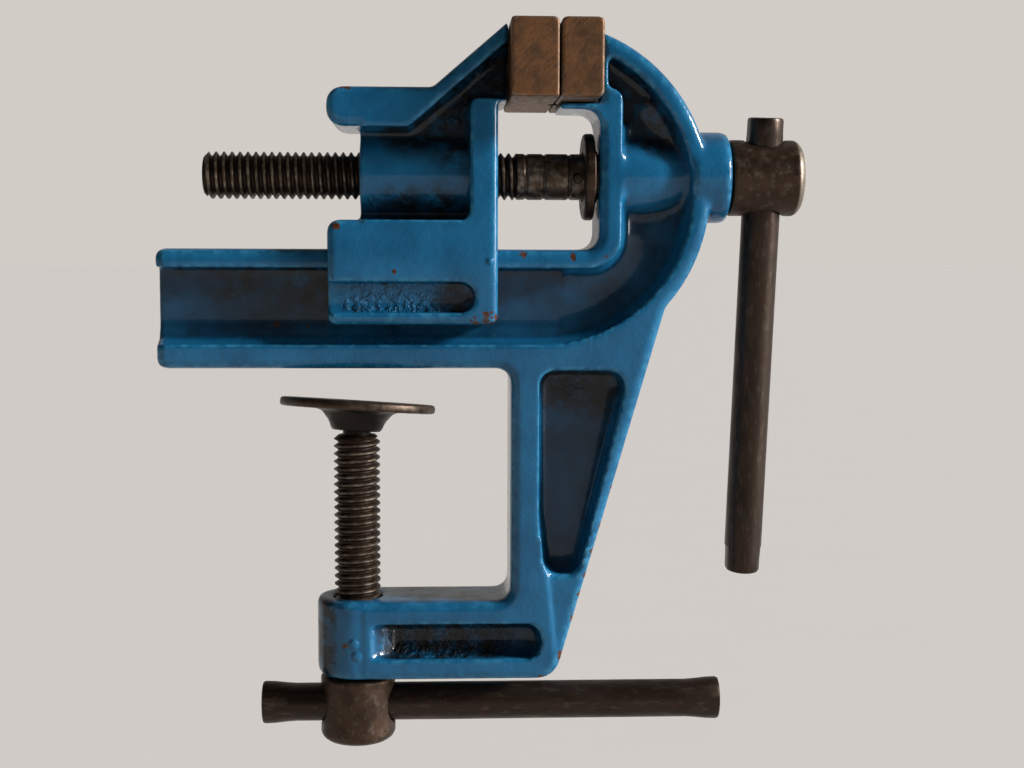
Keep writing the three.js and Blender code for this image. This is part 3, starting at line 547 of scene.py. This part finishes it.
    # Cast skin under the paint: lumps 3.5 mm across, small pits, grit on the spots that were
    # never filed, drips of paint, and chips as deep as the paint.
    lumps = add_node(tree, "ShaderNodeTexNoise", output="Fac", Vector=place, Scale=per_metre(3.5), Detail=2)
    pits = add_node(tree, "ShaderNodeTexNoise", output="Fac", Vector=place, Scale=per_metre(0.9),
                    Detail=3, Roughness=0.6)
    grit = where_all(tree, near(tree, place, places["rough"], 3),
                     clouds(tree, place, 1.5, 0.4, 0.65, detail=2), below)
    drips = near(tree, place, places["drips"], 1.2)
    whole = add_node(tree, "ShaderNodeMath", {"operation": "SUBTRACT"}, _0=1, _1=chips)
    finish_shader(tree, shader, skin, rough,
                  (lumps, 0.16), (pits, 0.07), (grit, 0.6), (drips, 0.6), (whole, 0.08))
    return material


def oxidised_steel(name, axis_place, along, crest_low, crest_high, polished=None):
    """Steel with a brown oxide skin, rubbed bright between two radii in mm round its axis."""
    # Cold-drawn or turned mild steel, handled for years: a dark brown skin, nearly black oil
    # in the roots, and dull bright metal where a hand, nut or hole rubs it.
    shade = colours()
    material, tree, shader = new_material(name, Metallic=0.75)
    place = add_node(tree, "ShaderNodeTexCoord", output="Object")
    spoke = add_node(tree, "ShaderNodeVectorMath", {"operation": "SUBTRACT"}, _0=place, _1=axis_place)
    spoke = add_node(tree, "ShaderNodeVectorMath", {"operation": "MULTIPLY"}, _0=spoke,
                     _1=[float(letter != along) for letter in "XYZ"])
    radius = add_node(tree, "ShaderNodeVectorMath", {"operation": "LENGTH"}, output="Value", _0=spoke)
    crest = add_node(tree, "ShaderNodeMapRange", SMOOTH, Value=radius, From_Min=crest_low * MM,
                     From_Max=crest_high * MM)
    thread = add_node(tree, "ShaderNodeMapRange", SMOOTH, Value=radius, From_Min=(crest_high + 0.2) * MM,
                      From_Max=(crest_high + 0.5) * MM, To_Min=1, To_Max=0)

    # Stains 5 mm across. Metal shows on the thread's crests and in rubbed spots elsewhere, and
    # oil stays in the roots.
    stains = clouds(tree, place, 5, 0.38, 0.62, 0, 0.4, detail=5, roughness=0.6)
    skin = cover(tree, shade.steel, shade.steel_root, stains)
    handled = clouds(tree, place, 2, 0.5, 0.75, 0, 0.25, detail=6, roughness=0.65)
    crests = where_all(tree, crest, clouds(tree, place, 1.8, 0.4, 0.7, 0.1, 0.75, detail=4))
    rubbed = add_node(tree, "ShaderNodeMix", _0=thread, _2=handled, _3=crests)
    skin = cover(tree, skin, shade.steel_worn, rubbed)
    if polished is not None:
        end = add_node(tree, "ShaderNodeSeparateXYZ", output=along, Vector=place)
        rim = add_node(tree, "ShaderNodeMapRange", SMOOTH, Value=end, From_Min=polished,
                       From_Max=polished + 0.4 * MM, To_Max=0.75)
        skin = cover(tree, skin, shade.steel_worn, rim)
    root = add_node(tree, "ShaderNodeMapRange", SMOOTH, Value=radius, From_Min=(crest_low - 0.6) * MM,
                    From_Max=crest_low * MM, To_Min=1, To_Max=0)
    skin = cover(tree, skin, shade.steel_root, root, 0.85)
    rough = clouds(tree, place, 2, 0.3, 0.7, 0.34, 0.55, detail=4)
    marks = add_node(tree, "ShaderNodeTexNoise", output="Fac", Vector=place, Scale=per_metre(0.7),
                     Detail=4, Roughness=0.65)
    dents = add_node(tree, "ShaderNodeTexNoise", output="Fac", Vector=place, Scale=per_metre(4), Detail=2)
    finish_shader(tree, shader, skin, rough, (marks, 0.05), (dents, 0.08))
    return material


def drawn_bar_steel(name, along):
    """Steel of a loose bar that lies along this axis."""
    # Cold-drawn round bar with a dark skin: fine scratches along its length and long rubbed
    # patches where it slides through its hole, so those patterns are drawn out along it.
    shade = colours()
    material, tree, shader = new_material(name, Metallic=0.7)
    place = add_node(tree, "ShaderNodeTexCoord", output="Object")
    stretch = [0.3 if letter == along else 1.0 for letter in "XYZ"]
    drawn = add_node(tree, "ShaderNodeMapping", Vector=place, Scale=stretch)
    stains = clouds(tree, drawn, 6, 0.35, 0.65, 0.42, 0.62, detail=6, roughness=0.62)
    skin = cover(tree, shade.steel, shade.steel_root, stains)
    rubbed = clouds(tree, drawn, 1.2, 0.5, 0.75, 0, 0.16, detail=5, roughness=0.6)
    skin = cover(tree, skin, shade.steel_worn, rubbed)
    pits = clouds(tree, place, 1.3, 0.6, 0.7, 0, 0.35, detail=4, roughness=0.7)
    skin = cover(tree, skin, shade.rust, pits)
    rough = clouds(tree, drawn, 3, 0.3, 0.7, 0.32, 0.52, detail=4)
    scratches = add_node(tree, "ShaderNodeTexNoise", output="Fac", Vector=drawn, Scale=per_metre(0.5),
                         Detail=3)
    dents = add_node(tree, "ShaderNodeTexNoise", output="Fac", Vector=place, Scale=per_metre(3), Detail=2)
    finish_shader(tree, shader, skin, rough, (scratches, 0.03), (dents, 0.07))
    return material


def jaw_patina():
    # Ground tool steel with a brown rust patina: coarse grinding strokes laid diagonally
    # across the ends, and edges rubbed to bare metal.
    shade = colours()
    material, tree, shader = new_material("brown_patina_ground_steel", Metallic=0.6)
    place = add_node(tree, "ShaderNodeTexCoord", output="Object")
    wear_and_highlight = add_node(tree, "ShaderNodeAttribute", {"attribute_name": "edge_wear_and_highlight"}, output="Fac")
    slanted = add_node(tree, "ShaderNodeMapping", Vector=place, Rotation=(0, math.radians(42), 0))
    strokes = add_node(tree, "ShaderNodeMapping", Vector=slanted, Scale=(0.2, 1, 1))
    mottle = clouds(tree, place, 4, 0.35, 0.7, 0, 0.75, detail=6, roughness=0.65)
    skin = cover(tree, shade.patina, shade.steel, mottle)
    coarse = clouds(tree, strokes, 1, 0.48, 0.68, detail=4, roughness=0.6)
    skin = cover(tree, skin, shade.patina_dark, coarse, 0.38)
    grain = clouds(tree, place, 0.7, 0.5, 0.7, detail=4, roughness=0.7)
    skin = cover(tree, skin, shade.rust, grain, 0.5)
    edges = add_node(tree, "ShaderNodeMapRange", SMOOTH, Value=wear_and_highlight, From_Min=0.3, From_Max=0.9)
    skin = cover(tree, skin, shade.steel_worn, edges, clouds(tree, place, 2, 0.3, 0.6), 0.6)
    rough = clouds(tree, strokes, 1, 0.3, 0.7, 0.42, 0.62)
    pits = add_node(tree, "ShaderNodeTexNoise", output="Fac", Vector=place, Scale=per_metre(0.6),
                    Detail=3, Roughness=0.7)
    finish_shader(tree, shader, skin, rough, (coarse, -0.03), (pits, 0.08))
    return material


def finish_piece(obj, material, body, slot, *nodes):
    obj.data.materials.clear()
    obj.data.materials.append(material)
    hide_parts(*nodes)
    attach(obj, body)


# ---------------------------------------------------------------- castings
class VISE_OT_frame_casting(Operator):
    """Builds the painted frame: beam, fixed jaw, arch, leg and clamp arm"""
    bl_idname = "vise.frame_casting"
    bl_label = "Frame casting"

    def execute(self, context):
        obj = cast_copy("frame_casting", "frame_painted", sizes().cast_voxel, relax=4)
        mark_edges(obj, reach=14, depth=0.35 * MM)
        material = blue_enamel("blue_enamel_on_cast_iron_frame", FRAME_PLACES, face=10.5, shade_depth=5.5)
        finish_piece(obj, material, "frame", "blue_enamel", "frame_casting")
        return {"FINISHED"}


class VISE_OT_moving_jaw(Operator):
    """Builds the painted moving jaw that slides on the beam"""
    bl_idname = "vise.moving_jaw"
    bl_label = "Moving jaw casting"

    def execute(self, context):
        obj = cast_copy("moving_jaw_casting", "moving_jaw_painted", sizes().jaw_voxel, relax=4)
        mark_edges(obj, reach=18, depth=0.35 * MM)
        material = blue_enamel("blue_enamel_on_cast_iron_jaw", JAW_PLACES, face=14.5, shade_depth=8.5)
        finish_piece(obj, material, "moving_jaw", "blue_enamel", "moving_jaw_casting")
        return {"FINISHED"}


class VISE_OT_jaw_blocks(Operator):
    """Builds the two ground steel blocks and the four screws that hold them"""
    bl_idname = "vise.jaw_blocks"
    bl_label = "Jaw blocks and screws"

    def execute(self, context):
        material = jaw_patina()
        for side, body in (("fixed", "frame"), ("moving", "moving_jaw")):
            obj = cast_copy(f"{side}_jaw_block", f"{side}_jaw_steel", sizes().block_voxel, relax=1)
            mark_edges(obj, reach=10, depth=0.12 * MM)
            finish_piece(obj, material, body, "jaw_steel", f"{side}_jaw_block")
        first = self.slotted_screw()
        screw_steel = oxidised_steel("jaw_screw_steel", (0, 0, 0), "X", crest_low=1.0, crest_high=4.0)
        for side, body, turn in (("fixed", "frame", -math.pi / 2), ("moving", "moving_jaw", math.pi / 2)):
            for level in ("lower", "upper"):
                node = f"{side}_jaw_screw_{level}"
                low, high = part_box(node)
                copy = first.copy()
                copy.data = first.data.copy()
                copy.name = f"{side}_slotted_screw_{level}"
                context.scene.collection.objects.link(copy)
                head_x = low.x if side == "fixed" else high.x
                apply_place(copy, (0, turn, 0), (head_x, 0, (low.z + high.z) / 2))
                smooth(copy)
                finish_piece(copy, screw_steel, body, "dark_steel", node)
        bpy.data.objects.remove(first)
        return {"FINISHED"}

    def slotted_screw(self):
        """A countersunk screw with its head up at the origin, and its slot."""
        low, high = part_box("fixed_jaw_screw_lower")
        length = high.x - low.x
        screw = turned("slotted_screw", [
            (1.6 * MM, -length), (2.0 * MM, 0.4 * MM - length), (2.0 * MM, -1.7 * MM),
            (3.3 * MM, -0.35 * MM), (3.5 * MM, -0.25 * MM), (3.55 * MM, -0.08 * MM), (3.4 * MM, 0)])
        return cut(screw, block("slot", (0.9 * MM, 9 * MM, 2.2 * MM)))


# ---------------------------------------------------------------- screws, washer and pin
def drilled_head(low, high, chamfer_low, chamfer_high, hole_height):
    """A screw head along Z with a cross hole along X, softly rounded like handled steel."""
    size = sizes()
    radius = size.head_radius
    head = turned("head", [
        (radius - chamfer_low - 1.2 * MM, low), (radius - chamfer_low, low + 0.12 * MM),
        (radius - 0.3 * chamfer_low, low + 0.6 * chamfer_low), (radius, low + 1.2 * chamfer_low),
        (radius, high - 1.2 * chamfer_high), (radius - 0.3 * chamfer_high, high - 0.6 * chamfer_high),
        (radius - chamfer_high, high)])
    hole = turned("hole", [(size.bar_hole, -20 * MM), (size.bar_hole, 20 * MM)])
    apply_place(hole, (0, math.pi / 2, 0), (0, 0, hole_height))
    cut(head, hole)
    modify(head, "REMESH", mode="VOXEL", voxel_size=size.head_voxel, use_smooth_shade=True)
    modify(head, "SMOOTH", factor=0.5, iterations=2)
    return head


class VISE_OT_main_screw(Operator):
    """Builds the main screw with its thread, ringed shank and drilled head, its washer and pin"""
    bl_idname = "vise.main_screw"
    bl_label = "Main screw"

    def execute(self, context):
        end = MAIN_HIGH.x
        steel = oxidised_steel("turned_oxidised_steel_main", (0, 0, SCREW_AXIS_Z), "X",
                               crest_low=5.3, crest_high=5.95, polished=end - 1.7 * MM)
        thread, shank = self.thread(), self.shank()
        head = drilled_head(MAIN_HEAD_X, end, 0.5 * MM, 1.5 * MM, MAIN_HOLE_X)
        screw = join("main_screw_threaded", thread, shank, head)
        finish_piece(self.lay(screw), steel, "main_spindle", "dark_steel", "main_screw")
        finish_piece(self.lay(self.washer()), steel, "main_spindle", "dark_steel", "retaining_washer")
        finish_piece(self.lay(self.pin()), steel, "main_spindle", "dark_steel", "retaining_pin")
        return {"FINISHED"}

    # Every piece is made along Z, with the way to the head up. Z becomes X when it is laid down.
    def thread(self):
        """The thread that runs in the jaw's barrel, chamfered at its free end."""
        size = sizes()
        low, high = MAIN_LOW.x, WASHER_LOW.x - THREAD_FROM_WASHER
        thread = helix("main_thread", size.thread_root, size.thread_radius, size.thread_pitch,
                       low, high + 0.4 * MM)
        envelope = turned("envelope", [
            (4.7 * MM, low - 0.01 * MM), (6.4 * MM, low + 1.7 * MM), (6.4 * MM, high + 1 * MM)])
        cut(thread, envelope, operation="INTERSECT")
        return smooth(thread, CRISP_THREAD)

    def shank(self):
        """The plain part with its turned rings, drilled for the pin."""
        radius = sizes().shank_radius
        low = WASHER_LOW.x - THREAD_FROM_WASHER
        outline = [(5.2 * MM, low), (radius, low + 0.5 * MM)]
        for way in RINGS_FROM_WASHER:
            place = WASHER_LOW.x - way
            outline += [(radius, place - 0.5 * MM), (radius - 0.28 * MM, place - 0.2 * MM),
                        (radius - 0.28 * MM, place + 0.25 * MM), (radius, place + 0.6 * MM)]
        shank = turned("shank", outline + [(radius, MAIN_HEAD_X + 0.5 * MM)])
        bore = turned("bore", [(1.4 * MM, -12 * MM), (1.4 * MM, 12 * MM)])
        apply_place(bore, (math.pi / 2, 0, 0), (0, 0, WASHER_LOW.x - PIN_FROM_WASHER))
        return smooth(cut(shank, bore))

    def washer(self):
        """The washer behind the frame's wall, rounded where it has been rubbed."""
        low, high, bore = WASHER_LOW.x, WASHER_HIGH.x, 6.35 * MM
        return smooth(turned("washer_turned", [
            (bore, low), (10.1 * MM, low), (10.6 * MM, low + 0.15 * MM), (10.9 * MM, low + 0.5 * MM),
            (11.0 * MM, low + 0.9 * MM), (11.0 * MM, high - 0.3 * MM), (10.7 * MM, high), (bore, high),
            (bore, low)], hollow=True))

    def pin(self):
        """The pin through the screw that holds the washer, with worn ends."""
        pin = turned("pin_turned", [
            (0.5 * MM, -8 * MM), (1.05 * MM, -7.85 * MM), (1.25 * MM, -7.5 * MM), (1.25 * MM, 7.4 * MM),
            (1.05 * MM, 7.8 * MM), (0.5 * MM, 7.95 * MM)])
        apply_place(pin, (math.pi / 2, 0, 0), (0, 0, WASHER_LOW.x - PIN_FROM_WASHER))
        return smooth(pin)

    def lay(self, obj):
        """Lays a piece down along X, turned as the screw is."""
        apply_place(obj, (0, math.pi / 2, 0))
        apply_place(obj, (sizes().main_turn, 0, 0), (0, 0, SCREW_AXIS_Z))
        return obj


class VISE_OT_clamp_screw(Operator):
    """Builds the table clamp's screw with its thread, neck, riveted end and drilled head"""
    bl_idname = "vise.clamp_screw"
    bl_label = "Clamp screw"

    def execute(self, context):
        size = sizes()
        bottom, top = CLAMP_LOW.z, CLAMP_HIGH.z
        shoulder = top - NECK_LENGTH
        thread = helix("clamp_thread", size.thread_root, size.thread_radius, size.thread_pitch,
                       CLAMP_HEAD_Z - 1 * MM, shoulder)
        envelope = turned("envelope", [
            (6.4 * MM, CLAMP_HEAD_Z - 2 * MM), (6.4 * MM, shoulder - 1.4 * MM),
            (4.9 * MM, shoulder + 0.01 * MM)])
        cut(thread, envelope, operation="INTERSECT")
        neck = turned("neck", [
            (3.6 * MM, shoulder - 1 * MM), (3.6 * MM, top - 1.3 * MM), (5.3 * MM, top - 1.3 * MM),
            (5.6 * MM, top - 1.0 * MM), (5.3 * MM, top - 0.45 * MM), (4.2 * MM, top - 0.12 * MM),
            (1.5 * MM, top)])
        head = drilled_head(bottom, CLAMP_HEAD_Z, 1.7 * MM, 0.5 * MM, CLAMP_HOLE_Z)
        smooth(thread, CRISP_THREAD)
        smooth(neck)
        screw = join("clamp_screw_threaded", thread, neck, head)
        steel = oxidised_steel("turned_oxidised_steel_clamp", (0, 0, 0), "Z",
                               crest_low=5.3, crest_high=5.95)
        finish_piece(screw, steel, "clamp_spindle", "dark_steel", "clamp_screw")
        return {"FINISHED"}


class VISE_OT_tommy_bars(Operator):
    """Builds the two loose bars, each with a flattened end that keeps it in its hole"""
    bl_idname = "vise.tommy_bars"
    bl_label = "Tommy bars"

    def execute(self, context):
        size = sizes()
        main = self.bar("main_bar_swaged", wide_along_y=True)
        apply_place(main, (0, 0, 0), (0, 0, BAR_RISE - size.bar_length))
        apply_place(main, (0, size.main_lean, 0), (MAIN_HOLE_X, 0, 0))
        apply_place(main, (size.main_turn, 0, 0), (0, 0, SCREW_AXIS_Z))
        finish_piece(smooth(main), drawn_bar_steel("cold_drawn_steel_main_bar", "Z"),
                     "main_bar", "dark_steel", "main_tommy_bar")
        clamp = self.bar("clamp_bar_swaged", wide_along_y=False)
        apply_place(clamp, (0, math.pi / 2, 0), (CLAMP_BAR_LOW.x, 0, CLAMP_HOLE_Z))
        finish_piece(smooth(clamp), drawn_bar_steel("cold_drawn_steel_clamp_bar", "X"),
                     "clamp_bar", "dark_steel", "clamp_tommy_bar")
        return {"FINISHED"}

    def bar(self, name, wide_along_y):
        """A bar from Z 0 upwards, with two flats at each end that spread it sideways."""
        r, length = sizes().bar_radius, sizes().bar_length
        wide, thin = 5.55 * MM, 4.6 * MM
        rows = [
            (wide - 0.9 * MM, thin - 0.9 * MM, 0), (wide - 0.25 * MM, thin - 0.25 * MM, 0.2 * MM),
            (wide, thin, 0.8 * MM), (wide - 0.1 * MM, thin, 3.4 * MM), (r + 0.15 * MM, r, 6.6 * MM),
            (r, r, 9 * MM)]
        far = [(a, b, length - h) for a, b, h in reversed(rows)]
        obj = turned(name, rows + [(r, r, length / 2)] + far)
        flat_size, flat_place, flat_slope = (14 * MM, 4 * MM, 13.6 * MM), 6.2 * MM, math.radians(-1)
        for height, inwards in ((0, 1), (length, -1)):
            for side in (-1, 1):
                cut(obj, block("flat", flat_size, (0, side * flat_place, height),
                               tilt=flat_slope * side * inwards))
        if wide_along_y:
            apply_place(obj, (0, 0, math.pi / 2))
        return obj


class VISE_OT_clamp_pad(Operator):
    """Builds the loose pad on the end of the clamp screw"""
    bl_idname = "vise.clamp_pad"
    bl_label = "Clamp pad"

    def execute(self, context):
        size = sizes()
        # Radii and heights in mm, from the socket's foot round the rim and into the recess.
        rows = [(4.7, -7.8), (6.0, -7.8), (6.5, -7.3), (7.4, -5.2), (9.2, -3.0), (11.0, -2.45),
                (13.0, -2.35), (19.2, -2.35), (19.8, -2.1), (20.0, -1.7), (19.95, -0.5),
                (19.6, -0.1), (19.0, 0), (7.8, 0), (7.2, -0.4), (7.2, -3.4), (4.7, -3.4), (4.7, -7.8)]
        pad = turned("clamp_pad_turned", [(r * MM, (h + PAD_FACE_RISE) * MM) for r, h in rows],
                     hollow=True)
        modify(pad, "REMESH", mode="VOXEL", voxel_size=size.pad_voxel, use_smooth_shade=True)
        modify(pad, "SMOOTH", factor=0.5, iterations=1)
        apply_place(pad, (size.pad_pitch, size.pad_roll, 0),
                    (0, 0, (TABLE_UNDERSIDE - PAD_FACE_RISE) * MM))
        steel = oxidised_steel("turned_oxidised_steel_pad", (0, 0, 0), "Z",
                               crest_low=17.0, crest_high=25.0)
        finish_piece(pad, steel, "pad", "dark_steel", "clamp_pad")
        return {"FINISHED"}


# ---------------------------------------------------------------- stage
class VISE_OT_stage(Operator):
    """Lays the floor, hangs the lights and sets up the camera"""
    bl_idname = "vise.stage"
    bl_label = "Stage"

    def execute(self, context):
        centre = [(a + b) / 2 for a, b in zip(*CAD_BOX)]
        floor = added("floor", bpy.ops.mesh.primitive_plane_add, size=30,
                      location=(centre[0], centre[1], CAD_BOX[0][2] - FLOOR_DROP))
        material, tree, shader = new_material("pale_paper_floor", Roughness=0.85)
        place = add_node(tree, "ShaderNodeTexCoord", output="Object")
        tone = clouds(tree, place, 60, 0.3, 0.7, 0, 0.06)
        tree.links.new(cover(tree, colours().floor, linear("#DCD5CD"), tone), shader.inputs["Base Color"])
        floor.data.materials.append(material)

        context.scene.world = self.studio()
        context.scene.view_settings.view_transform = "Standard"
        self.daylight("window_light", (0.86, -0.2, 0.36), 4.9, 10)
        self.daylight("window_right", (0.93, -0.3, 0.03), 2.0, 20)

        camera = bpy.data.cameras.new("camera")
        camera.lens = CAMERA_LENS
        camera.sensor_width = 36
        camera.clip_start = 0.01
        eye = bpy.data.objects.new("camera", camera)
        eye.location = CAMERA_PLACE
        eye.rotation_euler = [math.radians(angle) for angle in CAMERA_TURN]
        context.scene.collection.objects.link(eye)
        context.scene.camera = eye
        return {"FINISHED"}

    def studio(self):
        """A room that lights the vise from behind and from its right, and looks evenly pale."""
        world = bpy.data.worlds.new("pale_studio")
        world.use_nodes = True
        tree = world.node_tree
        way = add_node(tree, "ShaderNodeTexCoord", output="Generated")
        facing = add_node(tree, "ShaderNodeVectorMath", {"operation": "DOT_PRODUCT"}, output="Value",
                          _0=way, _1=(0.3, 0.95, 0.1))
        share = add_node(tree, "ShaderNodeMapRange", SMOOTH, Value=facing, From_Min=-0.15, From_Max=0.75)
        lit = cover(tree, linear("#4A4540"), linear("#A6A19C"), share)
        seen = add_node(tree, "ShaderNodeLightPath", output="Is Camera Ray")
        tree.links.new(cover(tree, lit, linear("#D2CCC7"), seen),
                       tree.nodes["Background"].inputs["Color"])
        return world

    def daylight(self, name, direction, strength, softness):
        light = bpy.data.lights.new(name, "SUN")
        light.energy = strength
        light.angle = math.radians(softness)
        lamp = bpy.data.objects.new(name, light)
        lamp.rotation_euler = Vector(direction).to_track_quat("Z", "Y").to_euler()
        bpy.context.scene.collection.objects.link(lamp)


class VISE_PT_panel(Panel):
    """Lists the vise's sizes, colours and pieces"""
    bl_label = "Bench Vise"
    bl_idname = "VISE_PT_panel"
    bl_space_type = "VIEW_3D"
    bl_region_type = "UI"
    bl_category = "Bench Vise"

    def draw(self, context):
        column = self.layout.column()
        for group in (context.scene.vise_sizes, context.scene.vise_colours):
            for name in type(group).__annotations__:
                column.prop(group, name)
        for step in STEPS:
            column.operator(step.bl_idname)


STEPS = (
    VISE_OT_stage,
    VISE_OT_frame_casting,
    VISE_OT_moving_jaw,
    VISE_OT_jaw_blocks,
    VISE_OT_main_screw,
    VISE_OT_clamp_screw,
    VISE_OT_tommy_bars,
    VISE_OT_clamp_pad,
)
CLASSES = (ViseSizes, ViseColours, *STEPS, VISE_PT_panel)


def register():
    for cls in CLASSES:
        bpy.utils.register_class(cls)
    bpy.types.Scene.vise_sizes = PointerProperty(type=ViseSizes)
    bpy.types.Scene.vise_colours = PointerProperty(type=ViseColours)


def unregister():
    del bpy.types.Scene.vise_colours
    del bpy.types.Scene.vise_sizes
    for cls in reversed(CLASSES):
        bpy.utils.unregister_class(cls)


def main():
    register()
    for step in STEPS:
        group, name = step.bl_idname.split(".")
        getattr(getattr(bpy.ops, group), name)()
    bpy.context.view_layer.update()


if __name__ == "__main__":
    main()
